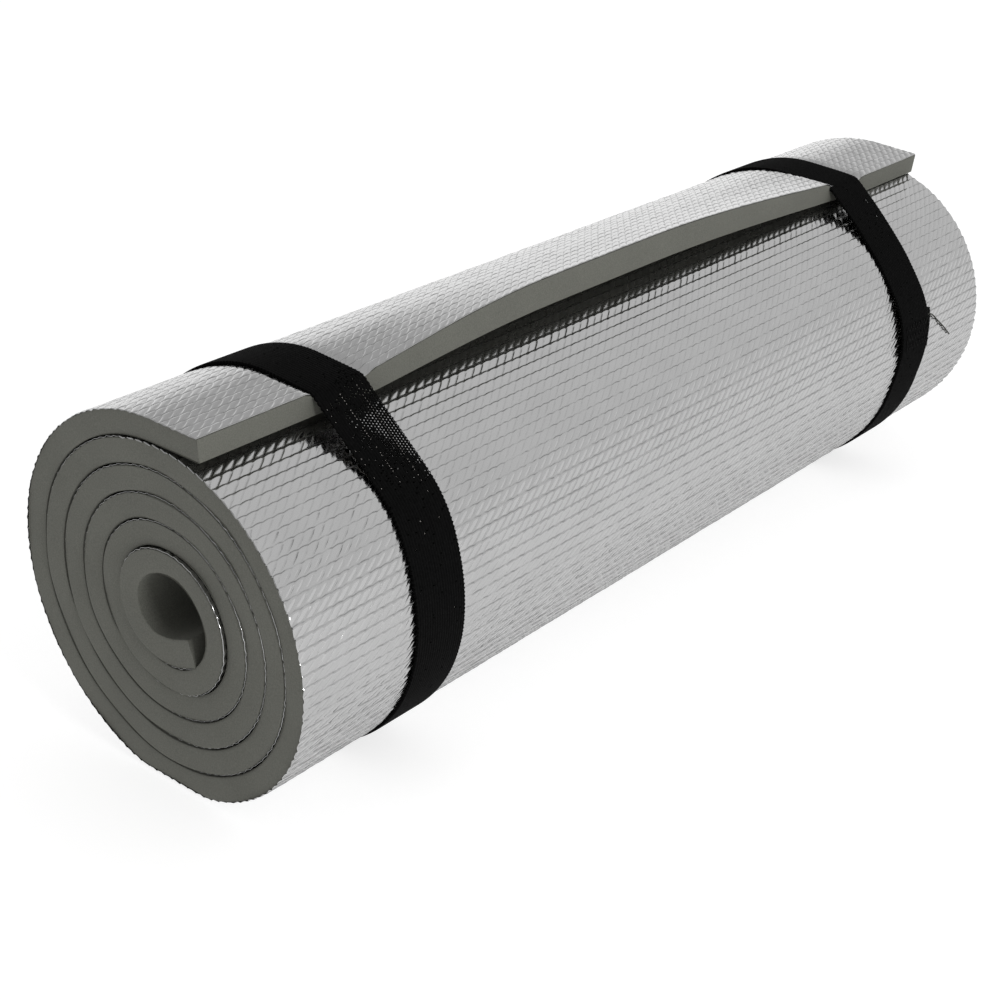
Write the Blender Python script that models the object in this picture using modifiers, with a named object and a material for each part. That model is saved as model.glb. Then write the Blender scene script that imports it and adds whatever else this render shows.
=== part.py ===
"""A foil-faced foam sleeping pad, rolled up and held by two elastic straps.

The roll lies along X on its straps. The pad is one foam sheet with a reflective film on its outer face,
rolled into a spiral whose free end lies on top, towards the front (-Y). Each strap is a strip of elastic
closed into a loop by a sewn lap seam, with rubber threads laid lengthwise in grooves on its inner face.

Everything is made about the roll's axis in a section frame: x towards the front, y up, z towards the
near end (world -X). Angles are in degrees, from the front, over the top, to the back.
"""

from math import ceil, cos, radians, sin

import bpy
import numpy as np
from mathutils import Vector
from mathutils.geometry import convex_hull_2d

# The pad
PAD_WIDTH = 0.500
FOAM_THICKNESS = 0.0092
FILM_THICKNESS = 0.0002
CLEARANCE = 0.0003
# The section's corners lie this many degrees apart, and this many of them reach once round and a bit more.
STEP = 12
OUTERMOST_CORNERS = 40

# The outer face's radius falls by one pitch a turn. The roll is slightly oval, and its core sits off
# centre, so the turns lie closer together on one side.
ROLL_RADIUS = 0.0826
PITCH = 0.01085
OVAL = 0.0009
CORE_SIDE = 32
CORE_SHIFT = 0.00074
FIRST_SHIFT = -0.0011
REST_LEVEL = -0.0739

# The sheet's two ends are straight: the free end on top, and the end inside the core.
FREE_END_ANGLE = 71
FREE_END_LEAVES = 87
FREE_END_LENGTH = 0.0233
CORE_END_LEAVES = 5 * 360 + 298
CORE_END_LENGTH = 0.0052

# The straps. Each strip starts at its seam angle, goes once round and laps over its own start.
STRAP_WIDTH = 0.0265
STRAP_THICKNESS = 0.0012
STRAP_GAP = 0.0004
SEAM_LAP = 14
LAP_RISE = 20
STRAPS = {
    "near_strap": {"x": -0.1835, "seam_angle": 212, "skew": 0.0},
    "far_strap": {"x": 0.1740, "seam_angle": 12, "skew": 0.0055},
}
SKEW_LENGTH = 26

# The rubber threads in the grooves on a strap's inner face
THREADS = 8
THREAD_PITCH = 0.0031
THREAD_RADIUS = 0.0002
THREAD_DEPTH = 0.00045
GROOVE_WIDTH = 0.0010
GROOVE_DEPTH = 0.0009

# The sewing thread
STITCH_RADIUS = 0.0002
STITCH_LENGTH = 0.0030
STITCH_SWING = 2
TAIL_RADIUS = 0.00035
# Where the loose end runs, as (x, angle, height over the roll) from the strap's corner
TAIL_ROUTE = [
    (0.1930, 9.8, 0.0012),
    (0.1962, 9.6, 0.0010),
    (0.1995, 8.4, 0.0009),
    (0.2035, 5.9, 0.0008),
    (0.2080, 3.2, 0.0008),
    (0.2130, 0.2, 0.0008),
    (0.2190, -3.6, 0.0009),
]
TAIL_STEPS = 3

SILVER = (0.62, 0.63, 0.64, 1.0)
DARK_FOAM = (0.115, 0.117, 0.105, 1.0)
BLACK = (0.006, 0.006, 0.006, 1.0)
PALE_RUBBER = (0.55, 0.53, 0.48, 1.0)


def clear_scene():
    for obj in list(bpy.data.objects):
        bpy.data.objects.remove(obj, do_unlink=True)


def make_collection(name):
    collection = bpy.data.collections.new(name)
    bpy.context.scene.collection.children.link(collection)
    return collection


def make_material(name, colour, roughness, metallic=0.0):
    material = bpy.data.materials.new(name)
    material.use_nodes = True
    shader = material.node_tree.nodes["Principled BSDF"]
    shader.inputs["Base Color"].default_value = colour
    shader.inputs["Roughness"].default_value = roughness
    shader.inputs["Metallic"].default_value = metallic
    return material


def at_angle(angle, radius):
    return Vector((radius * cos(radians(angle)), radius * sin(radians(angle))))


def roll_radius(angle):
    """Radius of the pad's outer face, at an angle that goes on past 360 for the inner turns."""
    turn = (angle - FREE_END_ANGLE) / 360
    shift = FIRST_SHIFT + CORE_SHIFT * turn
    towards_core = shift * cos(radians(angle - CORE_SIDE))
    return ROLL_RADIUS - PITCH * turn + towards_core + OVAL * cos(radians(2 * angle))


def tangent_at(angle):
    step = at_angle(angle + 1, roll_radius(angle + 1)) - at_angle(angle - 1, roll_radius(angle - 1))
    return step.normalized()


def outer_face_path():
    """The pad's outer face in section, from the free end on top to the end inside the core."""
    first = (FREE_END_LEAVES // STEP + 1) * STEP - STEP // 2
    angles = [FREE_END_LEAVES, *range(first, CORE_END_LEAVES, STEP), CORE_END_LEAVES]
    path = [at_angle(a, roll_radius(a)) for a in angles]
    free_end = path[0] - tangent_at(angles[0]) * FREE_END_LENGTH
    core_end = path[-1] + tangent_at(angles[-1]) * CORE_END_LENGTH
    free_end_middle = (free_end + path[0]) / 2
    return [free_end, free_end_middle, *path, core_end]


def inset(path, depth):
    """The path moved inwards, into the roll."""
    moved = []
    for i, point in enumerate(path):
        along = path[min(i + 1, len(path) - 1)] - path[max(i - 1, 0)]
        inwards = Vector((-along.y, along.x)).normalized()
        moved.append(point + inwards * depth)
    return moved


def pressed_flat(path, depth):
    """The path moved inwards, and flat where the outermost turn is pressed against its straps."""
    return [Vector((place.x, max(place.y, REST_LEVEL + depth))) for place in inset(path, depth)]


def new_object(name, data, collection, material, parent, x=0.0):
    """An object in the section frame, at a distance x along the roll."""
    obj = bpy.data.objects.new(name, data)
    collection.objects.link(obj)
    obj.parent = parent
    obj.location = (0, 0, -x)
    if material:
        obj.data.materials.append(material)
    return obj


def add_spline(curve, points, closed=False):
    spline = curve.splines.new("POLY")
    spline.points.add(len(points) - 1)
    for spline_point, place in zip(spline.points, points):
        spline_point.co = (*Vector(place).to_3d(), 1)
    spline.use_cyclic_u = closed


def make_foam(collection, material, parent):
    """The foam sheet: its spiral outline, filled and extruded to the pad's width."""
    outer = pressed_flat(outer_face_path(), FILM_THICKNESS + CLEARANCE)
    inner = inset(outer_face_path(), FILM_THICKNESS + CLEARANCE + FOAM_THICKNESS)
    curve = bpy.data.curves.new("foam_pad", "CURVE")
    curve.dimensions = "2D"
    curve.fill_mode = "BOTH"
    curve.extrude = PAD_WIDTH / 2
    add_spline(curve, outer + inner[::-1], closed=True)
    return new_object("foam_pad", curve, collection, material, parent)


def make_film(collection, material, parent):
    """The film on the foam's outer face: a ribbon along the spiral, thickened inwards."""
    curve = bpy.data.curves.new("foil_film", "CURVE")
    curve.dimensions = "3D"
    curve.extrude = PAD_WIDTH / 2
    add_spline(curve, pressed_flat(outer_face_path(), 0))
    film = new_object("foil_film", curve, collection, material, parent)
    skin = film.modifiers.new("film thickness", "SOLIDIFY")
    skin.thickness = FILM_THICKNESS
    skin.offset = 1
    return film


def loop_round_roll():
    """Angles and radii of the corners of a loop pulled tight round the roll."""
    face = pressed_flat(outer_face_path()[:OUTERMOST_CORNERS], 0)
    loop = [face[i] for i in convex_hull_2d(face)]
    angles = np.degrees([np.arctan2(corner.y, corner.x) for corner in loop]) % 360
    order = np.argsort(angles)
    return angles[order], np.array([corner.length for corner in loop])[order]


def strap_path(strap, height):
    """A strip's path at a height over the pad, from its start under the seam to its end over it."""
    angles, radii = loop_round_roll()
    start = strap["seam_angle"]
    end = start - 360 - SEAM_LAP
    corners = [a - 360 * turn for a in angles for turn in range(3) if end < a - 360 * turn < start]
    path = []
    for angle in sorted([start, start - 360, end, *corners], reverse=True):
        lapped = min(max((start - 360 + LAP_RISE - angle) / LAP_RISE, 0), 1)
        radius = np.interp(angle, angles, radii, period=360) + height
        radius += lapped * (STRAP_THICKNESS + CLEARANCE)
        skew = strap["skew"] * max(1 - (start - angle) / SKEW_LENGTH, 0)
        path.append(at_angle(angle, radius).to_3d() - Vector((0, 0, skew)))
    return path


def strap_profile():
    """The strip's section, (across, up), with a groove in its lower face for each rubber thread."""
    low, high = -STRAP_THICKNESS / 2, STRAP_THICKNESS / 2
    side = STRAP_WIDTH / 2
    outline = [(side, low), (side, high), (-side, high), (-side, low)]
    for across in thread_places():
        left, right = across - GROOVE_WIDTH / 2, across + GROOVE_WIDTH / 2
        outline += [(left, low), (left, low + GROOVE_DEPTH), (right, low + GROOVE_DEPTH), (right, low)]
    return outline


def thread_places():
    return [(i - (THREADS - 1) / 2) * THREAD_PITCH for i in range(THREADS)]


def make_profile(guides):
    """The guide curve that gives both straps their section."""
    curve = bpy.data.curves.new("strap_profile", "CURVE")
    curve.dimensions = "3D"
    add_spline(curve, [(-up, across) for across, up in reversed(strap_profile())], closed=True)
    profile = bpy.data.objects.new("strap_profile", curve)
    profile.hide_render = True
    profile.display_type = "WIRE"
    guides.objects.link(profile)
    return profile


def make_strip(name, strap, profile, collection, material, parent):
    """A strap: its section swept along its path."""
    curve = bpy.data.curves.new(name, "CURVE")
    curve.dimensions = "3D"
    curve.twist_mode = "Z_UP"
    curve.bevel_mode = "OBJECT"
    curve.bevel_object = profile
    curve.use_fill_caps = True
    add_spline(curve, strap_path(strap, STRAP_GAP + STRAP_THICKNESS / 2))
    return new_object(name, curve, collection, material, parent, strap["x"])


def make_thread(name, path, radius, sides, collection, material, parent, x):
    """A thread along a path. It has four sides, or more at a higher bevel resolution."""
    curve = bpy.data.curves.new(name, "CURVE")
    curve.dimensions = "3D"
    curve.bevel_depth = radius
    curve.bevel_resolution = sides
    curve.use_fill_caps = True
    add_spline(curve, path)
    return new_object(name, curve, collection, material, parent, x)


def make_rubber(name, strap, collection, material, parent):
    """The rubber threads of one strap, each in its groove."""
    path = strap_path(strap, STRAP_GAP + THREAD_DEPTH)
    for number, across in enumerate(thread_places(), 1):
        moved = [place + Vector((0, 0, across)) for place in path]
        thread = f"{name}_rubber_{number}"
        make_thread(thread, moved, THREAD_RADIUS, 0, collection, material, parent, strap["x"])


def stitch_path(strap):
    """A zigzag across the lap, on the strap's outer face."""
    height = STRAP_GAP + 2 * (STRAP_THICKNESS + CLEARANCE) + STITCH_RADIUS
    angles, radii = loop_round_roll()
    middle = strap["seam_angle"] - SEAM_LAP / 2
    count = ceil((STRAP_WIDTH - 2 * STITCH_LENGTH) / STITCH_LENGTH) + 1
    path = []
    for i in range(count):
        angle = middle + (STITCH_SWING if i % 2 else -STITCH_SWING)
        radius = np.interp(angle, angles, radii, period=360) + height
        across = (i - (count - 1) / 2) * STITCH_LENGTH
        path.append(at_angle(angle, radius).to_3d() + Vector((0, 0, across)))
    return path


def smooth_line(points, steps):
    """Points along a smooth line through all the given ones, with steps from each to the next."""
    ends = [2 * points[0] - points[1], *points, 2 * points[-1] - points[-2]]
    line = []
    for before, start, stop, after in zip(ends, ends[1:], ends[2:], ends[3:]):
        leaving, arriving = (stop - before) / 2, (after - start) / 2
        for t in np.arange(steps) / steps:
            blend = t * t * (3 - 2 * t)
            bend = leaving * (t * (1 - t) ** 2) - arriving * (t * t * (1 - t))
            line.append(start * (1 - blend) + stop * blend + bend)
    return [*line, points[-1]]


def tail_path():
    """The loose end's line along the roll."""
    points = [
        at_angle(angle, roll_radius(angle + 360) + height).to_3d() - Vector((0, 0, x))
        for x, angle, height in TAIL_ROUTE
    ]
    return smooth_line(points, TAIL_STEPS)


def box_of(objects):
    """The lowest and highest corners of some objects as they are shown."""
    graph = bpy.context.evaluated_depsgraph_get()
    corners = []
    for obj in objects:
        shown = obj.evaluated_get(graph)
        mesh = shown.to_mesh()
        corners += [shown.matrix_world @ vertex.co for vertex in mesh.vertices]
        shown.to_mesh_clear()
    corners = np.array(corners)
    return corners.min(axis=0), corners.max(axis=0)


def stand_on_floor(section, objects):
    """Moves the roll so that the origin is at the middle of the underside of its box."""
    bpy.context.view_layer.update()
    low, high = box_of(objects)
    section.location = (0, -(low[1] + high[1]) / 2, -low[2])


def main():
    clear_scene()
    parts = make_collection("sleeping_pad")
    guides = make_collection("guides")
    section = bpy.data.objects.new("section_frame", None)
    section.rotation_euler = (radians(90), 0, radians(-90))
    parts.objects.link(section)

    foam = make_material("closed_cell_foam", DARK_FOAM, 0.9)
    silver = make_material("metallised_film", SILVER, 0.35, 0.85)
    elastic = make_material("black_elastic", BLACK, 0.85)
    rubber = make_material("rubber_thread", PALE_RUBBER, 0.6)
    sewing = make_material("sewing_thread", BLACK, 0.6)

    make_foam(parts, foam, section)
    make_film(parts, silver, section)
    profile = make_profile(guides)
    for name, strap in STRAPS.items():
        make_strip(name, strap, profile, parts, elastic, section)
        make_rubber(name, strap, parts, rubber, section)
        stitching = f"{name}_stitching"
        make_thread(stitching, stitch_path(strap), STITCH_RADIUS, 0, parts, sewing, section, strap["x"])
    solids = [obj for obj in parts.objects if obj.type == "CURVE"]
    make_thread("far_strap_thread", tail_path(), TAIL_RADIUS, 2, parts, sewing, section, 0)
    stand_on_floor(section, solids)


main()
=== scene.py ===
"""The looks of a rolled, foil-faced foam sleeping pad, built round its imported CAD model.

The roll lies along X. Its section is drawn in (front, up) about the roll's axis, front being -Y, with
angles in degrees from the front, over the top, to the back. A place on the pad is given by its length from
the sheet's free end, its x along the roll, and its depth under the sheet's outer face.
"""

from math import cos, radians, sin

import bpy
import numpy as np
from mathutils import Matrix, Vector
from mathutils.geometry import convex_hull_2d


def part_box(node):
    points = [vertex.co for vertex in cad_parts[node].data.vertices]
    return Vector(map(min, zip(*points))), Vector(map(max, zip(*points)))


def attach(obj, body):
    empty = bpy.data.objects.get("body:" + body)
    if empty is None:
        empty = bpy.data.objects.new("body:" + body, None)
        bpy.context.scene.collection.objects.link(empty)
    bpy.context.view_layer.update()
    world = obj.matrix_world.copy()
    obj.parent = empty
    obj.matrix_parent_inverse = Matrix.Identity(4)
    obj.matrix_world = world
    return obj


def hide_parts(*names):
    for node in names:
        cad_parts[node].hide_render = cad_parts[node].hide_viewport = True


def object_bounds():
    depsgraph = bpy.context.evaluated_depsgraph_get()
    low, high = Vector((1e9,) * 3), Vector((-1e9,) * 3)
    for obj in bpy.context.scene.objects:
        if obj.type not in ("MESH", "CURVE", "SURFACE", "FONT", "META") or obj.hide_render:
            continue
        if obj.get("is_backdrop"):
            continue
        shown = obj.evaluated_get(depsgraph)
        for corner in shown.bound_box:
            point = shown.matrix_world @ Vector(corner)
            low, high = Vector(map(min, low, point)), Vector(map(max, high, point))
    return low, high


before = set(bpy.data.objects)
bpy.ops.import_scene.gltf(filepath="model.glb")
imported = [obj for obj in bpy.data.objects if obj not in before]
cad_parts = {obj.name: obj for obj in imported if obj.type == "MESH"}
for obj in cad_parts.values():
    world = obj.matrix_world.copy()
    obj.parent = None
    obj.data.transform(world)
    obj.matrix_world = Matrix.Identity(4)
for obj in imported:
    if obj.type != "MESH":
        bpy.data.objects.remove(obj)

CAD_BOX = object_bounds()
MM = 0.001

# The roll's section, as in the CAD model, but with foam 0.25 mm thicker and an inner end 3 mm longer
FOAM_THICKNESS = 9.45 * MM
FOAM_DEPTH = 0.3 * MM
ROLL_RADIUS = 82.6 * MM
PITCH = 10.85 * MM
OVAL = 0.9 * MM
CORE_SIDE = 32
CORE_SHIFT = 0.74 * MM
FIRST_SHIFT = -1.1 * MM
REST_LEVEL = -73.9 * MM
FREE_END_ANGLE = 71
FREE_END_LEAVES = 87
FREE_END_LENGTH = 23.3 * MM
CORE_END_LEAVES = 5 * 360 + 298
CORE_END_LENGTH = 8.2 * MM
CORNER_STEP = 12
FIRST_CORNER = FREE_END_LEAVES + 3
FINE_STEP = 0.5
END_POINTS = 24

# Where the foam is thicker: at the roll's back, in the core, and at the free end where no strap presses it
FOAM_SPREAD = 0.6 * MM
CORE_SWELL = 1.6 * MM
CORE_SWELL_FROM = CORE_END_LEAVES - 70
CORE_SWELL_OVER = 60
FREE_SWELL = 2.0 * MM
FREE_SWELL_REACH = 60 * MM

# Where the foam's section is drawn: in from both ends, along the free end, round the turns, and along x
END_STATIONS = np.array([0, 0.1, 0.35, 0.8]) * MM
FREE_END_STEP = 2.5 * MM
CORE_END_STATION = 3 * MM
LAST_TURN_STATION = 4 * MM
TURN_STEP = 2.5
EVEN_COLUMNS = 37
STRAP_COLUMNS = (-0.7, -0.5, 0.5, 0.7)

# The foam's cut edges: rounded at both ends of the sheet, bulged and slightly wavy along its sides.
# The shares go through the thickness from the outer face, each with how far it is cut in.
END_ROUND = 0.8 * MM
END_ROUND_DEPTH = 0.25 * MM
EDGE_SHARES = np.array([0.012, 0.045, 0.12, 0.35, 0.65, 0.88, 0.955, 0.988])
EDGE_INSETS = np.array([0.05, 0, 0, -0.12, -0.12, 0, 0.1, 0.3]) * MM
OUTER_INSET = 0.12 * MM
INNER_INSET = 0.7 * MM
EDGE_WAVE = 0.12 * MM
LONG_WAVE = 17 * MM
SHORT_WAVE = 7.3 * MM
FOAM_SHARP = 40

# The free end bows out between the straps: the sheet is bent less there, from an angle at the back on.
# From the far strap on it hangs down a little, and its far corner is pulled out along the roll.
FLAP_ANCHOR = 112
FLAP_STEP = 0.5 * MM
BOW = 0.50
BOW_STARTS = 6 * MM
NEAR_REACH = 105 * MM
BOW_STOPS = 8 * MM
FAR_REACH = 150 * MM
BOW_STEP = 0.05
LEAST_BOW = -0.2
MOST_BOW = 0.6
FAR_DROOP = 0.2
DROOP_REACH = 40 * MM
CORNER_PULL = 4 * MM
CORNER_REACH = 60 * MM

# The film's embossing: rows that overlap like shingles, but for the free end's, with slanting scales
# along them. Samples are shares of a row or a scale.
ROW_PITCH = 4.65 * MM
CELL_PITCH = 4.9 * MM
LEAN = 1.2
ROW_SAMPLES = (0, 0.08, 0.2, 0.5, 0.8, 0.92)
SCALE_SAMPLES = (0, 0.2, 0.5, 0.74, 0.92)
CREASE_START = 0.74
CREASE_LOWEST = 0.92
SCALE_CROWN = 0.28
CREASE_DEPTH = 0.8
CREASE_ENDS = 1.5
FURROW_DEPTH = 0.5
FURROW_SHARPNESS = 8
SHINGLE = 0.4 * MM
EMBOSS_HEIGHT = 0.42 * MM
EMBOSS_LOW = -0.25 * MM
UNEVEN = 0.25
UNEVEN_CELLS = 240
PRESSED_FLAT = 0.6
RIPPLE = 0.35 * MM
# How far the diagonal creases are darkened with painted shade and made rougher; the rows get it in full
CREASE_SHADE_AND_DULLING = 0.35
RIM_LIP = 0.32 * MM
RIM_STANDS_OUT = 0.25 * MM
FILM_THICKNESS = 0.1 * MM
HIDDEN_FROM = FREE_END_ANGLE + 360 + 32
INSIDE_ROW_SAMPLES = (0, 0.2, 0.5, 0.8)
INSIDE_COLUMNS = np.array([0.6, 1.0, 1.6, 2.6, 4, 7, 14]) * MM
ON_EDGE = 1e-6
LEAST_SAMPLE = 0.2 * MM

# How far the turns stand back at the near end: deeper turn by turn, but for the core
STAND_BACK = 0.15 * MM
FIRST_BACK = 0.7
CORE_STANDS_OUT = 1.6 * MM
CORE_TURN = 4.2
CORE_TURNS_OVER = 0.5

# How far the straps press the pad in, and how softly the roll rests
STRAP_DENT = 0.45 * MM
DENT_INSIDE = 1 * MM
DENT_SLOPE = 6 * MM
TIP_DENT = 1.5 * MM
TIP_REACH = 9 * MM
SOFT_REST = 1.5 * MM

# How finely the loop that a strap follows is worked out, and over how many places it is smoothed
LOOP_LENGTH_STEP = 0.8 * MM
LOOP_TO = FREE_END_ANGLE + 400
LOOP_POINTS = 60
LOOP_ANGLE_STEP = 0.25
LOOP_WINDOW = 19

# The straps, as in the CAD model, but for their sway and their rows of stitches, of which it has one
STRAP_THICKNESS = 1.2 * MM
STRAP_GAP = 0.4 * MM
CLEARANCE = 0.3 * MM
SEAM_LAP = 14
LAP_RISE = 20
SEAM_ANGLES = {"near_strap": 212, "far_strap": 12}
SKEWS = {"near_strap": 0.0, "far_strap": 5.5 * MM}
SKEW_LENGTH = 26
# Where the straps lie off their middle: (angle, how far towards the far end)
SWAYS = {
    "near_strap": ((75, -2.3 * MM), (33, 2.1 * MM)),
    "far_strap": ((85, -4.0 * MM), (30, -1.8 * MM), (-14, -2.5 * MM)),
}
SWAY_WIDTH = 19
THREADS = 8
THREAD_PITCH = 3.1 * MM
THREAD_RADIUS = 0.2 * MM
THREAD_DEPTH = 0.45 * MM
GROOVE_DEPTH = 0.9 * MM
GROOVE_WIDTH = 1.0 * MM
THREAD_STEP = 2.5 * MM
STITCH_RADIUS = 0.2 * MM
STITCH_LENGTH = 3.0 * MM
STITCH_SWING = 1.0
STITCH_ROWS = (3.5, 7, 10.5)
STITCHED_SHARE = 0.92
STITCH_STEPS = 4

# The knit of the straps
WALES = 20
WALE_SAMPLES = (0, 0.22, 0.78)
COURSE_LENGTH = 1.3 * MM
RIB_HEIGHT = 0.18 * MM
COURSE_SHARE = 0.25
FLAT_EDGE = 0.03
EDGE_RIB = 0.4
OPEN_THICKNESS = 0.3 * MM
OPENNESS = {"near_strap": 1.4, "far_strap": 0.12}
THINNING = 3
BRIDGE_ANGLE = 55
BRIDGE_WIDTH = 13
LEAST_OPEN = 0.15
STRAY_HOLES = 0.02
STRAP_SHARP = 50
PICOT_PITCH = 1.9 * MM
PICOT_HEIGHT = 0.9 * MM
PICOT_MIDDLE = 0.8
PICOT_EDGES = (-1, -0.4, 0.4, 1)

# The loose sewing thread, as in the CAD model: (x, angle, height over the roll)
TAIL_RADIUS = 0.35 * MM
TAIL_ROUTE = [
    (0.1930, 9.8, 0.0012),
    (0.1962, 9.6, 0.0010),
    (0.1995, 8.4, 0.0009),
    (0.2035, 5.9, 0.0008),
    (0.2080, 3.2, 0.0008),
    (0.2130, 0.2, 0.0008),
    (0.2190, -3.6, 0.0009),
]
TAIL_STEPS = 3
TAIL_ROUNDNESS = 3

# The camera
CAMERA_AZIMUTH = -49.6
CAMERA_ELEVATION = 26.0
CAMERA_PLACE = (-0.5958, -0.4594, 0.3964)
CAMERA_LENS = 62.9
SENSOR_WIDTH = 36
CLIP_START = 0.01

# The studio: a white sky with a dark corner high up in front, grey towards -X, and behind the roll greyer
# overhead than low down. One lamp stands in front, low enough to glint on the film.
DARK_CORNER = (-0.25, -0.5, 0.83)
SHADED_SIDE = (-1, 0, 0)
BACK = (0, 1, 0)
UP = (0, 0, 1)
SKY_STRENGTH = 1.9
FLOOR_SIZE = 30
FLOOR_GLOW = 0.7
LAMP_PLACE = Vector((-0.4, -1.6, 0.55))
LAMP_TARGET = Vector((0, 0, 0.08))
LAMP_SIZE = 0.35
LAMP_POWER = 10

rng = np.random.default_rng(7)


def roll_radius(angle):
    """Radius of the pad's outer face, at an angle that goes on past 360 for the inner turns."""
    turn = (angle - FREE_END_ANGLE) / 360
    towards_core = (FIRST_SHIFT + CORE_SHIFT * turn) * np.cos(np.radians(angle - CORE_SIDE))
    return ROLL_RADIUS - PITCH * turn + towards_core + OVAL * np.cos(np.radians(2 * angle))


def at_angle(angle, radius):
    """(front, up) of places at an angle and a distance from the roll's axis."""
    return np.stack([radius * np.cos(np.radians(angle)), radius * np.sin(np.radians(angle))], axis=-1)


def smooth_step(t):
    t = np.clip(t, 0, 1)
    return t * t * (3 - 2 * t)


def unit(vectors):
    return vectors / np.linalg.norm(vectors, axis=-1, keepdims=True)


def spiral():
    """The pad's outer face in section, closely spaced, with its straight ends, and the curve's angles."""
    angles = np.arange(FREE_END_LEAVES, CORE_END_LEAVES + FINE_STEP / 2, FINE_STEP)
    curve = at_angle(angles, roll_radius(angles))
    share = np.linspace(0, 1, END_POINTS)[:, None]
    leaves = unit(curve[1] - curve[0]) * FREE_END_LENGTH
    arrives = unit(curve[-1] - curve[-2]) * CORE_END_LENGTH
    free_end = curve[0] - leaves * (1 - share[:-1])
    core_end = curve[-1] + arrives * share[1:]
    return np.concatenate([free_end, curve, core_end]), angles


LINE, CURVE_ANGLES = spiral()
STEPS = np.diff(LINE, axis=0)
STEP_LENGTHS = np.hypot(STEPS[:, 0], STEPS[:, 1])
LENGTHS = np.concatenate([[0], np.cumsum(STEP_LENGTHS)])
HEADINGS = np.unwrap(np.arctan2(STEPS[:, 1], STEPS[:, 0]))
PAD_LENGTH = LENGTHS[-1]
CURVE_START = np.searchsorted(LENGTHS, FREE_END_LENGTH - 1e-6)


def length_at(angle):
    """Length from the free end to where the outer face passes an angle."""
    return np.interp(angle, CURVE_ANGLES, LENGTHS[CURVE_START : CURVE_START + len(CURVE_ANGLES)])


def angle_at(s):
    """Angle at which the outer face is at a length from the free end."""
    return np.interp(s, LENGTHS[CURVE_START : CURVE_START + len(CURVE_ANGLES)], CURVE_ANGLES)


def stand_back(s):
    """How far the sheet has slipped along the roll, towards the far end."""
    turn = (angle_at(s) - FREE_END_ANGLE) / 360
    core = smooth_step((turn - CORE_TURN) / CORE_TURNS_OVER)
    return STAND_BACK * np.clip(turn - FIRST_BACK, 0, CORE_TURN) - CORE_STANDS_OUT * core


def box_middle(node):
    low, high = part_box(node)
    return (low + high) / 2


def find_axis():
    """(y, z) of the roll's axis, from the film's box and the corners of its section in the CAD model."""
    low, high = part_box("foil_film")
    corners = np.arange(FIRST_CORNER, FIRST_CORNER + 360, CORNER_STEP)
    front = at_angle(corners, roll_radius(corners))[:, 0]
    return (low.y + high.y + front.min() + front.max()) / 2, low.z - REST_LEVEL


AXIS_Y, AXIS_Z = find_axis()
PAD_LOW, PAD_HIGH = (corner.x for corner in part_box("foam_pad"))
STRAP_X = {name: box_middle(f"{name}_rubber_4").x + THREAD_PITCH / 2 for name in SEAM_ANGLES}
STRAP_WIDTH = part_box("near_strap")[1].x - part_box("near_strap")[0].x


def to_world(section, x):
    """World points from (front, up) and x."""
    x = np.broadcast_to(x, section.shape[:-1])
    return np.stack([x, AXIS_Y - section[..., 0], AXIS_Z + section[..., 1]], axis=-1)


def bow_at(x):
    """Share by which the free end is straightened at x: most between the straps, none under them."""
    near = STRAP_X["near_strap"] + STRAP_WIDTH / 2
    far = STRAP_X["far_strap"] - STRAP_WIDTH / 2
    inside = np.minimum((x - near - BOW_STARTS) / NEAR_REACH, (far - BOW_STOPS - x) / FAR_REACH)
    droop = FAR_DROOP * smooth_step((x - far + BOW_STOPS) / DROOP_REACH)
    return BOW * np.sin(np.pi / 2 * np.clip(inside, 0, 1)) - droop


def line_at(s):
    """(front, up, heading) of the unbowed outer face at each length."""
    front, up = (np.interp(s, LENGTHS, LINE[:, i]) for i in (0, 1))
    headings = np.interp(s, LENGTHS[:-1] + STEP_LENGTHS / 2, HEADINGS)
    return np.stack([front, up, headings], axis=-1)


def bowed_end():
    """(front, up, heading) of the bowed free end, by length and by bow."""
    s = np.linspace(0, FLAP_LENGTH, round(FLAP_LENGTH / FLAP_STEP) + 1)
    bows = np.arange(LEAST_BOW, MOST_BOW, BOW_STEP)
    straight = line_at(s)
    anchor = straight[-1]
    headings = anchor[2] + (straight[:, 2] - anchor[2])[:, None] * (1 - bows)
    middle = (headings[1:] + headings[:-1]) / 2
    steps = np.stack([np.cos(middle), np.sin(middle)], axis=-1) * s[1]
    to_anchor = np.zeros((*headings.shape, 2))
    to_anchor[:-1] = np.cumsum(steps[::-1], axis=0)[::-1]
    return np.concatenate([anchor[:2] - to_anchor, headings[..., None]], axis=-1)


FLAP_LENGTH = length_at(FLAP_ANCHOR)
FLAP = bowed_end()


def outer_face(s, x):
    """(front, up, heading) of the outer face at each length and x."""
    place = line_at(s)
    bowed = s < FLAP_LENGTH
    row = s[bowed] / FLAP_LENGTH * (len(FLAP) - 1)
    column = (bow_at(x[bowed]) - LEAST_BOW) / BOW_STEP
    i, j = row.astype(int), column.astype(int)
    after, beside = (row - i)[:, None], (column - j)[:, None]
    here = FLAP[i, j] * (1 - beside) + FLAP[i, j + 1] * beside
    there = FLAP[i + 1, j] * (1 - beside) + FLAP[i + 1, j + 1] * beside
    place[bowed] = here * (1 - after) + there * after
    return place


def pad_points(s, x, depth, pressed=True):
    """World points of the pad at lengths s, places x and depths; pressed flat where the roll rests."""
    s, x, depth = np.broadcast_arrays(s, x, depth)
    place = outer_face(s, x)
    inwards = np.stack([-np.sin(place[..., 2]), np.cos(place[..., 2])], axis=-1)
    section = place[..., :2] + inwards * depth[..., None]
    if pressed:
        floor = REST_LEVEL + depth
        over = section[..., 1] - floor
        section[..., 1] = floor + (over + np.sqrt(over**2 + SOFT_REST**2 / 4)) / 2
    pull = CORNER_PULL * smooth_step((x - PAD_HIGH) / CORNER_REACH + 1) * smooth_step(1 - s / FLAP_LENGTH)
    return to_world(section, x + stand_back(s) + pull)


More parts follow.
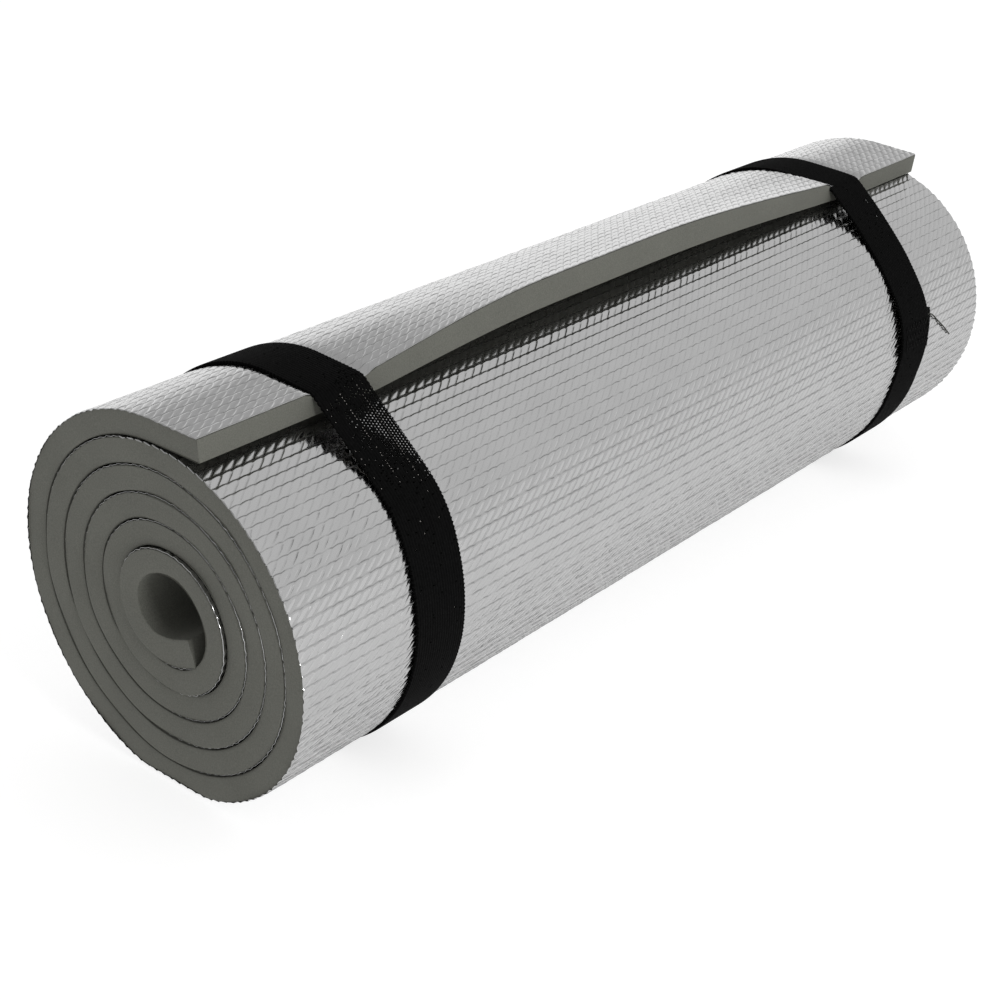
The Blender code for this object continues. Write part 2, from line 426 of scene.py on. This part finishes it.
def strap_dent(s, x):
    """How far the straps press the outer turn in, and the free end's edge more."""
    dent = np.zeros(np.broadcast_shapes(np.shape(s), np.shape(x)))
    for middle in STRAP_X.values():
        beyond = (np.abs(x - middle) - STRAP_WIDTH / 2 + DENT_INSIDE) / DENT_SLOPE
        dent = dent + 1 - smooth_step(beyond)
    depth = STRAP_DENT + TIP_DENT * np.exp(-s / TIP_REACH)
    return dent * depth * (s < length_at(FREE_END_ANGLE + 360))


# Meshes


def quads(index):
    """The cells of a grid of vertex numbers, as quads."""
    return np.stack([index[:-1, :-1], index[:-1, 1:], index[1:, 1:], index[1:, :-1]], axis=-1)


def new_mesh(name, points, faces, material, sharp=None):
    mesh = bpy.data.meshes.new(name)
    mesh.from_pydata(points.reshape(-1, 3).tolist(), [], faces)
    mesh.shade_smooth()
    if sharp:
        mesh.set_sharp_from_angle(angle=radians(sharp))
    mesh.materials.append(material)
    obj = bpy.data.objects.new(name, mesh)
    bpy.context.scene.collection.objects.link(obj)
    return obj


def thick_cloth(name, outer, inner, keep, material):
    """A closed cloth from a grid of outer and inner points, open at the cells that aren't kept."""
    rows, columns = outer.shape[:2]
    below = rows * columns
    cells = quads(np.arange(below).reshape(rows, columns))
    faces = [cells[keep], cells[keep][:, ::-1] + below]
    around = np.pad(keep, 1)
    beside = [around[:-2, 1:-1], around[1:-1, 2:], around[2:, 1:-1], around[1:-1, :-2]]
    for side, neighbour in enumerate(beside):
        rim = cells[keep & ~neighbour]
        a, b = rim[:, side], rim[:, (side + 1) % 4]
        faces.append(np.stack([b, a, a + below, b + below], axis=-1))
    faces = np.concatenate(faces).tolist()
    return new_mesh(name, np.stack([outer, inner]), faces, material, STRAP_SHARP)


def new_tube(name, points, radius, material, resolution=2):
    curve = bpy.data.curves.new(name, "CURVE")
    curve.dimensions = "3D"
    curve.bevel_depth = radius
    curve.bevel_resolution = resolution
    curve.use_fill_caps = True
    spline = curve.splines.new("POLY")
    spline.points.add(len(points) - 1)
    for spline_point, place in zip(spline.points, points):
        spline_point.co = (*place, 1)
    curve.materials.append(material)
    obj = bpy.data.objects.new(name, curve)
    bpy.context.scene.collection.objects.link(obj)
    return obj


# Materials


def new_material(name, roughness, metallic=0.0):
    material = bpy.data.materials.new(name)
    material.use_nodes = True
    tree = material.node_tree
    shader = tree.nodes["Principled BSDF"]
    shader.inputs["Roughness"].default_value = roughness
    shader.inputs["Metallic"].default_value = metallic
    place = tree.nodes.new("ShaderNodeTexCoord")
    return material, tree, shader, place.outputs["Object"]


def noise(tree, place, scale, detail):
    node = tree.nodes.new("ShaderNodeTexNoise")
    node.inputs["Scale"].default_value = scale
    node.inputs["Detail"].default_value = detail
    tree.links.new(place, node.inputs["Vector"])
    return node.outputs["Fac"]


def ramp(tree, value, low, high, start=0.3, end=0.7):
    node = tree.nodes.new("ShaderNodeValToRGB")
    node.color_ramp.elements[0].position = start
    node.color_ramp.elements[0].color = low
    node.color_ramp.elements[1].position = end
    node.color_ramp.elements[1].color = high
    tree.links.new(value, node.inputs["Fac"])
    return node.outputs["Color"]


def mix(tree, share, first, second):
    """A mix of two colours, each of them a socket or a value."""
    node = tree.nodes.new("ShaderNodeMix")
    node.data_type = "RGBA"
    for socket, value in ((node.inputs[0], share), (node.inputs[6], first), (node.inputs[7], second)):
        if isinstance(value, bpy.types.NodeSocket):
            tree.links.new(value, socket)
        else:
            socket.default_value = value
    return node.outputs[2]


def grey(value, warm=0.0):
    return (value * (1 + warm), value, value * (1 - warm), 1)


def olive(value):
    return (value, value * 1.01, value * 0.86, 1)


def bump(tree, shader, height, strength, distance):
    node = tree.nodes.new("ShaderNodeBump")
    node.inputs["Strength"].default_value = strength
    node.inputs["Distance"].default_value = distance
    tree.links.new(height, node.inputs["Height"])
    tree.links.new(node.outputs["Normal"], shader.inputs["Normal"])


def foil_material():
    """Aluminised film: metal with slight clouding and fine creases. It is rougher in the creases and
    furrows of its embossing, and darkened there with painted shade.
    """
    material, tree, shader, place = new_material("aluminised_film", 0.25, 1.0)
    clouds = ramp(tree, noise(tree, place, 60, 4), grey(0.43), grey(0.455))
    shade_and_dulling_attribute = tree.nodes.new("ShaderNodeAttribute")
    shade_and_dulling_attribute.attribute_name = "crease_shade_and_dulling"
    uneven = ramp(tree, noise(tree, place, 240, 2), grey(0.25), grey(1), 0.38, 0.6)
    dull_and_shaded = mix(tree, shade_and_dulling_attribute.outputs["Fac"], grey(0), uneven)
    # Painted shade: the colour is darkened towards grey 0.24 along the embossing's rows and creases
    tree.links.new(mix(tree, dull_and_shaded, clouds, grey(0.24)), shader.inputs["Base Color"])
    grain = ramp(tree, noise(tree, place, 900, 3), grey(0.11), grey(0.18))
    # The same places are rougher, for the film's real dullness there
    tree.links.new(mix(tree, dull_and_shaded, grain, grey(0.65)), shader.inputs["Roughness"])
    bump(tree, shader, noise(tree, place, 1300, 3), 0.2, 0.08 * MM)
    return material


def foam_material():
    """Closed-cell foam: matte dark grey, cloudy, with its fine cells cut open."""
    material, tree, shader, place = new_material("closed_cell_foam", 0.85)
    clouds = ramp(tree, noise(tree, place, 45, 5), olive(0.09), olive(0.107))
    grain = ramp(tree, noise(tree, place, 1900, 2), olive(0.072), olive(0.125), 0.35, 0.65)
    tree.links.new(mix(tree, 0.5, clouds, grain), shader.inputs["Base Color"])
    cells = tree.nodes.new("ShaderNodeTexVoronoi")
    cells.inputs["Scale"].default_value = 2200
    tree.links.new(place, cells.inputs["Vector"])
    bump(tree, shader, cells.outputs["Distance"], 0.35, 0.15 * MM)
    return material


def elastic_material():
    """Black knitted elastic: matte yarn with a slight sheen."""
    material, tree, shader, place = new_material("black_elastic", 0.8)
    yarn = noise(tree, place, 900, 3)
    tree.links.new(ramp(tree, yarn, grey(0.0014), grey(0.0034)), shader.inputs["Base Color"])
    shader.inputs["Specular IOR Level"].default_value = 0.03
    shader.inputs["Sheen Weight"].default_value = 0.004
    shader.inputs["Sheen Roughness"].default_value = 0.5
    bump(tree, shader, noise(tree, place, 1500, 4), 0.6, 0.2 * MM)
    return material


def rubber_material():
    material, tree, shader, place = new_material("pale_rubber", 0.55)
    bloom = noise(tree, place, 300, 3)
    tree.links.new(ramp(tree, bloom, grey(0.48, 0.07), grey(0.58, 0.05)), shader.inputs["Base Color"])
    bump(tree, shader, noise(tree, place, 2500, 2), 0.3, 0.05 * MM)
    return material


def sewing_material(name, low, high):
    """Twisted polyester thread."""
    material, tree, shader, place = new_material(name, 0.7)
    shader.inputs["Specular IOR Level"].default_value = 0.08
    plies = tree.nodes.new("ShaderNodeTexWave")
    plies.inputs["Scale"].default_value = 900
    plies.bands_direction = "DIAGONAL"
    tree.links.new(place, plies.inputs["Vector"])
    tree.links.new(ramp(tree, plies.outputs["Fac"], low, high), shader.inputs["Base Color"])
    bump(tree, shader, plies.outputs["Fac"], 0.5, 0.08 * MM)
    return material


# The camera, and the loose thread


def make_camera():
    data = bpy.data.cameras.new("camera")
    data.sensor_width = SENSOR_WIDTH
    data.lens = CAMERA_LENS
    data.clip_start = CLIP_START
    camera = bpy.data.objects.new("camera", data)
    azimuth, elevation = radians(CAMERA_AZIMUTH), radians(CAMERA_ELEVATION)
    back = Vector((sin(azimuth) * cos(elevation), -cos(azimuth) * cos(elevation), sin(elevation)))
    camera.location = CAMERA_PLACE
    camera.rotation_mode = "QUATERNION"
    camera.rotation_quaternion = (-back).to_track_quat("-Z", "Y")
    bpy.context.scene.collection.objects.link(camera)
    bpy.context.scene.camera = camera


def smooth_line(points, steps):
    """Points along a smooth line through all the given ones, with steps from each to the next."""
    ends = [2 * points[0] - points[1], *points, 2 * points[-1] - points[-2]]
    line = []
    for before, start, stop, after in zip(ends, ends[1:], ends[2:], ends[3:]):
        leaving, arriving = (stop - before) / 2, (after - start) / 2
        for t in np.arange(steps) / steps:
            blend = t * t * (3 - 2 * t)
            bend = leaving * (t * (1 - t) ** 2) - arriving * (t * t * (1 - t))
            line.append(start * (1 - blend) + stop * blend + bend)
    return [*line, points[-1]]


def make_tail(material):
    """The loose end of the sewing thread, beside the far strap's seam."""
    route = [
        to_world(at_angle(angle, roll_radius(angle + 360) + height), x) for x, angle, height in TAIL_ROUTE
    ]
    line = np.array(smooth_line(route, TAIL_STEPS))
    tail = new_tube("far_strap_loose_end", line, TAIL_RADIUS, material, TAIL_ROUNDNESS)
    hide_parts("far_strap_thread")
    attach(tail, "far_strap")


# The pad


def foam_stations():
    """Lengths at which the foam's section is drawn."""
    flap = np.arange(FREE_END_STEP, FREE_END_LENGTH, FREE_END_STEP)
    curve = length_at(np.arange(FREE_END_LEAVES, CORE_END_LEAVES, TURN_STEP))
    curve = curve[curve < PAD_LENGTH - LAST_TURN_STATION]
    end = PAD_LENGTH - np.array([CORE_END_STATION, *END_STATIONS[::-1]])
    return np.concatenate([END_STATIONS, flap, curve, end])


def foam_columns():
    """Places along the roll at which the foam is drawn, closer at the straps' edges."""
    columns = list(np.linspace(PAD_LOW, PAD_HIGH, EVEN_COLUMNS))
    for middle in STRAP_X.values():
        columns += [middle + share * STRAP_WIDTH for share in STRAP_COLUMNS]
    return np.array(sorted(columns))


def make_foam(material):
    """One foam sheet: a ring round its section at each station along the spiral, with rounded cut edges."""
    s, x = foam_stations(), foam_columns()
    from_end = np.minimum(s, PAD_LENGTH - s)
    rounded = END_ROUND_DEPTH * (1 - np.sqrt(np.clip(from_end / END_ROUND, 0, 1)))[:, None]
    spread = FOAM_SPREAD * (1 - np.cos(np.radians(angle_at(s) - CORE_SIDE)))[:, None] / 2
    swell = CORE_SWELL * smooth_step((angle_at(s) - CORE_SWELL_FROM) / CORE_SWELL_OVER)[:, None]
    outer = pad_points(s[:, None], x, FOAM_DEPTH + rounded + strap_dent(s[:, None], x))
    unpressed = smooth_step(1 - s / FREE_SWELL_REACH)[:, None] * np.maximum(bow_at(x), 0) / BOW
    thickness = FOAM_THICKNESS + spread + swell + FREE_SWELL * unpressed
    inner = pad_points(s[:, None], x, FOAM_DEPTH + thickness - rounded, pressed=False)
    wave = EDGE_WAVE * (np.sin(s / LONG_WAVE) + np.sin(s / SHORT_WAVE + 1))

    def edge(column, outwards):
        rows = []
        for share, inset in zip(EDGE_SHARES, EDGE_INSETS):
            point = outer[:, column] * (1 - share) + inner[:, column] * share
            point[:, 0] -= outwards * (inset + wave)
            rows.append(point)
        return np.stack(rows, axis=1)

    for row, inset in ((outer, OUTER_INSET), (inner, INNER_INSET)):
        for column, outwards in ((0, -1), (-1, 1)):
            row[:, column, 0] -= outwards * (inset + wave)
    ring = np.concatenate([outer, edge(-1, 1), inner[:, ::-1], edge(0, -1)[:, ::-1]], axis=1)
    rows, around = ring.shape[:2]
    index = np.arange(rows * around).reshape(rows, around)
    faces = quads(np.concatenate([index, index[:, :1]], axis=1)).reshape(-1, 4).tolist()
    for row, turned in ((index[0], 1), (index[-1], -1)):
        faces += end_cap(row, len(x), len(EDGE_SHARES), turned)
    foam = new_mesh("pad_foam", ring, faces, material, FOAM_SHARP)
    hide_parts("foam_pad")
    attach(foam, "roll")


def end_cap(ring, columns, between, turned):
    """Faces that close a ring of the foam's section, at either end of the sheet."""
    outer = ring[:columns]
    inner = ring[columns + between : 2 * columns + between][::-1]
    ladder = np.stack([outer[1:], outer[:-1], inner[:-1], inner[1:]], axis=-1)[:, ::turned]
    far = ring[columns - 1 : columns + between + 1][::-turned]
    near = [*ring[2 * columns + between - 1 :], ring[0]][::-turned]
    return [*ladder.tolist(), list(map(int, far)), list(map(int, near))]


def samples(low, high, pitch, fractions):
    """Places from low to high where a pattern of that pitch is drawn."""
    cells = np.arange(np.floor(low / pitch), np.ceil(high / pitch))
    places = ((cells[:, None] + np.array(fractions)) * pitch).ravel()
    inside = places[(places > low + LEAST_SAMPLE) & (places < high - LEAST_SAMPLE)]
    return np.array([low, *inside, high])


def slant(s):
    """How many cells the scales' edges have moved along the roll, at a length."""
    row = s / ROW_PITCH
    place = row % 1
    return LEAN * (np.floor(row) + (place + np.sin(np.pi / 2 * place)) / 2)


def crease_share(s):
    """How strong the creases are across a row: from 0 at the furrows to 1 at its middle."""
    return np.minimum(CREASE_ENDS * np.sin(np.pi * (s / ROW_PITCH % 1)), 1)


def film_height(s, x):
    """Height of the embossed film over the pad's outer face."""
    furrow = 1 - FURROW_DEPTH * np.abs(2 * (s / ROW_PITCH % 1) - 1) ** FURROW_SHARPNESS
    cell = (x - PAD_LOW) / CELL_PITCH - slant(s) + ON_EDGE
    place = cell % 1
    crown = SCALE_CROWN * (2 * place / CREASE_START - 1) ** 2
    crease = np.interp(place, (CREASE_START, CREASE_LOWEST, 1), (SCALE_CROWN, CREASE_DEPTH, SCALE_CROWN))
    scale = 1 - np.where(place < CREASE_START, crown, crease) * crease_share(s)
    row_number = (s / ROW_PITCH).astype(int)
    uneven = CELL_HEIGHTS[row_number, np.floor(cell).astype(int) % CELL_HEIGHTS.shape[1]]
    row_place = (0, ROW_SAMPLES[1], ROW_SAMPLES[-1], 1)
    shingle = SHINGLE * np.interp(s / ROW_PITCH % 1, row_place, (0, -0.5, 0.5, 0))
    shingle *= smooth_step((s - FLAP_LENGTH) / FLAP_LENGTH)
    height = EMBOSS_LOW + EMBOSS_HEIGHT * furrow * scale * uneven + shingle
    dent = strap_dent(s, x)
    return height * (1 - PRESSED_FLAT * np.minimum(dent / STRAP_DENT, 1)) - dent


CELL_HEIGHTS = rng.uniform(1 - UNEVEN, 1 + UNEVEN, (int(PAD_LENGTH / ROW_PITCH) + 2, UNEVEN_CELLS))


def film_crease_shade_and_dulling(s, x):
    """How dull the film is, and how dark with painted shade, where the embossing has folded it: 1 along the
    rows, less along the creases.
    """
    row = np.abs((s / ROW_PITCH + 0.5) % 1 - 0.5)
    place = ((x - PAD_LOW) / CELL_PITCH - slant(s) + ON_EDGE) % 1
    crease = np.interp(place, (CREASE_START, CREASE_LOWEST, 1), (0, CREASE_SHADE_AND_DULLING, 0))
    return np.maximum(np.clip(1 - row / ROW_SAMPLES[1], 0, 1), crease * crease_share(s))


def film_patch(s, x, sink=0.0):
    """Film points at lengths and places, below its upper face by sink; its rows ripple along the roll."""
    s, x = np.broadcast_arrays(s, x)
    ripple = RIPPLE * np.abs(np.sin(np.pi * ((x - PAD_LOW) / CELL_PITCH - slant(s))))
    ends = np.minimum(s, PAD_LENGTH - s) / ROW_PITCH
    return pad_points(s + ripple * smooth_step(ends), x, sink - film_height(s, x))


def film_outside(hidden):
    """The film's outer part, a grid whose columns follow the scales' edges: points, faces, and how dull and
    how dark with painted shade each point is.
    """
    s = samples(0, hidden, ROW_PITCH, ROW_SAMPLES)[:, None]
    cells = np.arange(-int(slant(hidden)) - 3, (PAD_HIGH - PAD_LOW) / CELL_PITCH + 1)
    columns = (cells[:, None] + np.array(SCALE_SAMPLES)).ravel()
    place = PAD_LOW + (columns + slant(s)) * CELL_PITCH
    used = (place > PAD_LOW - CELL_PITCH) & (place < PAD_HIGH + CELL_PITCH)
    x = np.clip(place, PAD_LOW, PAD_HIGH)
    index = np.cumsum(used).reshape(used.shape) - 1
    index[~used] = -1
    cells = quads(index).reshape(-1, 4)
    corners = quads(x).reshape(-1, 4)
    faces = cells[(cells >= 0).all(axis=1) & (np.ptp(corners, axis=1) > 1e-6)]
    s = np.broadcast_to(s, x.shape)
    return film_patch(s[used], x[used]), faces, film_crease_shade_and_dulling(s[used], x[used])


def film_rims(hidden):
    """Grids of the film's cut edges: along both sides, and along the free end."""
    s = samples(0, hidden, ROW_PITCH, ROW_SAMPLES)
    x = samples(PAD_LOW, PAD_HIGH, CELL_PITCH, SCALE_SAMPLES)
    lip = FILM_THICKNESS + RIM_LIP * np.sin(np.pi * s / ROW_PITCH) ** 2
    for side, order in ((PAD_LOW, 1), (PAD_HIGH, -1)):
        under = film_patch(s, side, lip)
        under[:, 0] -= order * RIM_STANDS_OUT
        yield np.stack([under, film_patch(s, side)], axis=1)[:, ::order]
    yield np.stack([film_patch(0 * x, x, FILM_THICKNESS), film_patch(0 * x, x)], axis=0)


def film_inside(hidden):
    """The film's part inside the roll, standing back from the foam's cut edges."""
    s = samples(hidden, PAD_LENGTH, ROW_PITCH, INSIDE_ROW_SAMPLES)
    x = np.array([*(PAD_LOW + INSIDE_COLUMNS), 0, *(PAD_HIGH - INSIDE_COLUMNS[::-1])])
    grid = film_patch(s[:, None], x)
    under = film_patch(s[:, None], x[[0, -1]], FILM_THICKNESS)
    return np.concatenate([under[:, :1], grid, under[:, 1:]], axis=1)


def make_film(material):
    """The film: finely drawn on the free end and the outermost turn, coarser inside the roll."""
    hidden = length_at(HIDDEN_FROM)
    outside, outside_faces, crease_shade_and_dulling = film_outside(hidden)
    points, faces, start = [outside], outside_faces.tolist(), len(outside)
    for grid in (*film_rims(hidden), film_inside(hidden)):
        index = start + np.arange(grid.shape[0] * grid.shape[1]).reshape(grid.shape[:2])
        faces += quads(index).reshape(-1, 4).tolist()
        points.append(grid.reshape(-1, 3))
        start += index.size
    film = new_mesh("pad_foil", np.concatenate(points), faces, material)
    # Painted crease shade and dullness of each outer point, read by the film's material; the rims and the
    # inside get none
    values = np.zeros(start, np.float32)
    values[: len(crease_shade_and_dulling)] = crease_shade_and_dulling
    film.data.attributes.new("crease_shade_and_dulling", "FLOAT", "POINT").data.foreach_set("value", values)
    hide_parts("foil_film")
    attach(film, "roll")


# The straps


def loop_round_roll(middle):
    """Angles and radii of a loop pulled tight round the roll, at a place along it."""
    s = np.arange(0, length_at(LOOP_TO), LOOP_LENGTH_STEP)
    world = pad_points(s, middle, strap_dent(s, middle))
    face = [Vector((AXIS_Y - y, z - AXIS_Z)) for _, y, z in world]
    corners = np.array([face[i] for i in convex_hull_2d(face)])
    share = np.linspace(0, 1, LOOP_POINTS, endpoint=False)[:, None]
    loop = np.concatenate([a + (b - a) * share for a, b in zip(corners, np.roll(corners, -1, axis=0))])
    angles = np.degrees(np.arctan2(loop[:, 1], loop[:, 0])) % 360
    order = np.argsort(angles)
    even = np.arange(0, 360, LOOP_ANGLE_STEP)
    radii = np.interp(even, angles[order], np.hypot(*loop.T)[order], period=360)
    window = np.hanning(LOOP_WINDOW)
    tripled = np.convolve(np.tile(radii, 3), window / window.sum(), mode="same")
    return even, tripled[len(even) : 2 * len(even)]


LOOPS = {name: loop_round_roll(middle) for name, middle in STRAP_X.items()}


def strap_radius(name, angle, height):
    """Distance from the axis at a height over the pad; the strip's last part lies over its start."""
    lapped = smooth_step((SEAM_ANGLES[name] - 360 + LAP_RISE - angle) / LAP_RISE)
    return np.interp(angle, *LOOPS[name], period=360) + height + lapped * (STRAP_THICKNESS + CLEARANCE)


def strap_angles(start, length):
    count = int(radians(360 + SEAM_LAP) * ROLL_RADIUS / length)
    return np.linspace(start, start - 360 - SEAM_LAP, count)


def strap_shift(name, angle):
    """How far the strip lies off its middle: it sways, and its start runs askew."""
    shift = SKEWS[name] * np.clip(1 - (SEAM_ANGLES[name] - angle) / SKEW_LENGTH, 0, 1)
    for where, sway in SWAYS[name]:
        off = (angle - where + 180) % 360 - 180
        shift = shift + sway * np.exp(-((off / SWAY_WIDTH) ** 2))
    return shift


def open_mesh(angle, across):
    """How far the knit is stretched open, from 0 to 1: where the strap bridges the pad's free end."""
    bridge = np.exp(-((((angle + 360) % 360 - BRIDGE_ANGLE) / BRIDGE_WIDTH) ** 2))
    return bridge[:, None] * (LEAST_OPEN + (1 - LEAST_OPEN) * smooth_step(across)[None, :])


def make_strap(name, material):
    """A strap of knitted elastic: lengthwise ribs, picot edges, and grooves for its rubber inside."""
    angle = strap_angles(SEAM_ANGLES[name], COURSE_LENGTH / 2)
    wale_places = np.arange(WALES)[:, None] + np.array(WALE_SAMPLES)
    share = np.array([*wale_places.ravel(), WALES]) / WALES
    across = (share - 0.5) * STRAP_WIDTH
    along = np.arange(len(angle)) * COURSE_LENGTH / 2
    wale = np.arange(len(share)) % len(WALE_SAMPLES)
    course = 1 + COURSE_SHARE * np.cos(np.pi * np.arange(len(angle)))
    rib = (wale > 0)[None, :] * course[:, None]
    fade = smooth_step(np.minimum(share, 1 - share) / FLAT_EDGE)[None, :]
    rib_share = rib * (EDGE_RIB + (1 - EDGE_RIB) * fade)
    top = STRAP_GAP + STRAP_THICKNESS - RIB_HEIGHT + RIB_HEIGHT * rib_share
    bottom = np.full_like(top, STRAP_GAP)
    for number in range(THREADS):
        middle = (number - (THREADS - 1) / 2) * THREAD_PITCH
        groove = np.abs(across - middle) < GROOVE_WIDTH / 2
        bottom[:, groove] = STRAP_GAP + GROOVE_DEPTH
    thinned = STRAP_THICKNESS - OPEN_THICKNESS - RIB_HEIGHT
    stretched = smooth_step(THINNING * OPENNESS[name] * open_mesh(angle, share)) * thinned
    bottom = np.maximum(bottom, STRAP_GAP + stretched)
    picot = PICOT_HEIGHT * (np.abs(2 * (along / PICOT_PITCH % 1) - 1) - PICOT_MIDDLE)[:, None]
    edge = np.zeros(len(share))
    edge[[0, 1, -2, -1]] = PICOT_EDGES
    x = STRAP_X[name] + across[None, :] + picot * edge[None, :] + strap_shift(name, angle)[:, None]
    rings = []
    for height in (top, bottom):
        radius = strap_radius(name, angle, 0)[:, None] + height
        rings.append(to_world(at_angle(angle[:, None], radius), x)[::-1])
    chance = rng.random((len(angle) - 1, len(share) - 1))
    cell_angle = (angle[:-1] + angle[1:]) / 2
    open_share = OPENNESS[name] * open_mesh(cell_angle, (share[:-1] + share[1:]) / 2)
    open_cells = chance < open_share + STRAY_HOLES
    wale_number = np.arange(len(share) - 1) // len(WALE_SAMPLES)
    staggered = np.arange(len(angle) - 1)[:, None] + wale_number
    lattice = (staggered % 2 == 0) & (wale[:-1] == 1)
    keep = ~(open_cells & lattice)[::-1]
    strap = thick_cloth(f"{name}_elastic", rings[0], rings[1], keep, material)
    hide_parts(name)
    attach(strap, name)


def make_rubber(name, material):
    """The rubber threads in a strap's grooves."""
    angle = strap_angles(SEAM_ANGLES[name], THREAD_STEP)
    section = at_angle(angle, strap_radius(name, angle, STRAP_GAP + THREAD_DEPTH))
    for number in range(1, THREADS + 1):
        across = (number - (THREADS + 1) / 2) * THREAD_PITCH
        line = to_world(section, STRAP_X[name] + across + strap_shift(name, angle))
        thread = new_tube(f"{name}_rubber_thread_{number}", line, THREAD_RADIUS, material)
        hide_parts(f"{name}_rubber_{number}")
        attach(thread, name)


def make_stitching(name, material):
    """Three rows of zigzag stitches across a strap's lap."""
    count = int(STRAP_WIDTH / STITCH_LENGTH * 2)
    height = STRAP_GAP + 2 * STRAP_THICKNESS + CLEARANCE + STITCH_RADIUS
    points = []
    for row, beyond_start in enumerate(STITCH_ROWS):
        order = range(count) if row % 2 == 0 else reversed(range(count))
        for i in order:
            angle = SEAM_ANGLES[name] - beyond_start + (STITCH_SWING if i % 2 else -STITCH_SWING)
            across = (i - (count - 1) / 2) * STITCH_LENGTH / 2
            section = at_angle(angle, np.interp(angle, *LOOPS[name], period=360) + height)
            points.append(to_world(section, STRAP_X[name] + across * STITCHED_SHARE))
    line = smooth_line(points, STITCH_STEPS)
    stitches = new_tube(f"{name}_stitches", line, STITCH_RADIUS, material)
    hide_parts(f"{name}_stitching")
    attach(stitches, name)


# The studio


def towards(tree, direction):
    """How nearly a place in the world's sky lies in a direction, as a cosine."""
    place = tree.nodes.new("ShaderNodeTexCoord")
    cosine = tree.nodes.new("ShaderNodeVectorMath")
    cosine.operation = "DOT_PRODUCT"
    cosine.inputs[1].default_value = Vector(direction).normalized()
    tree.links.new(place.outputs["Generated"], cosine.inputs[0])
    return cosine.outputs["Value"]


def make_sky():
    world = bpy.data.worlds.new("studio")
    world.use_nodes = True
    tree = world.node_tree
    background = tree.nodes["Background"]
    front = ramp(tree, towards(tree, DARK_CORNER), grey(0.5), grey(0.06), 0.86, 0.95)
    back = ramp(tree, towards(tree, UP), grey(0.64), grey(0.33), 0.10, 0.42)
    backness = ramp(tree, towards(tree, BACK), grey(0), grey(1), 0.05, 0.35)
    shade = ramp(tree, towards(tree, SHADED_SIDE), grey(0), grey(0.5), 0.3, 0.9)
    sky = mix(tree, shade, mix(tree, backness, front, back), grey(0))
    tree.links.new(sky, background.inputs["Color"])
    background.inputs["Strength"].default_value = SKY_STRENGTH
    bpy.context.scene.world = world
    bpy.context.scene.view_settings.view_transform = "Standard"


def make_floor():
    bpy.ops.mesh.primitive_plane_add(size=FLOOR_SIZE)
    floor = bpy.context.object
    floor.name = "floor"
    paper = bpy.data.materials.new("white_paper")
    paper.use_nodes = True
    shader = paper.node_tree.nodes["Principled BSDF"]
    shader.inputs["Base Color"].default_value = (0.5, 0.5, 0.5, 1)
    shader.inputs["Roughness"].default_value = 0.9
    shader.inputs["Emission Color"].default_value = (1, 1, 1, 1)
    shader.inputs["Emission Strength"].default_value = FLOOR_GLOW
    floor.data.materials.append(paper)
    floor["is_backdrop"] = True


def make_lamp():
    data = bpy.data.lights.new("front_lamp", "AREA")
    data.shape = "SQUARE"
    data.size = LAMP_SIZE
    data.energy = LAMP_POWER
    lamp = bpy.data.objects.new("front_lamp", data)
    lamp.location = LAMP_PLACE
    lamp.rotation_mode = "QUATERNION"
    lamp.rotation_quaternion = (LAMP_TARGET - LAMP_PLACE).to_track_quat("-Z", "Y")
    bpy.context.scene.collection.objects.link(lamp)


def main():
    make_camera()
    make_tail(sewing_material("loose_thread", olive(0.02), olive(0.05)))
    make_foam(foam_material())
    make_film(foil_material())
    elastic, rubber = elastic_material(), rubber_material()
    sewing = sewing_material("sewing_thread", grey(0.003), grey(0.006))
    for name in SEAM_ANGLES:
        make_strap(name, elastic)
        make_rubber(name, rubber)
        make_stitching(name, sewing)
    make_sky()
    make_floor()
    make_lamp()


main()
visual_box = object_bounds()
boxes = {"cad": CAD_BOX, "visual": visual_box}
{name: [list(corner) for corner in box] for name, box in boxes.items()}
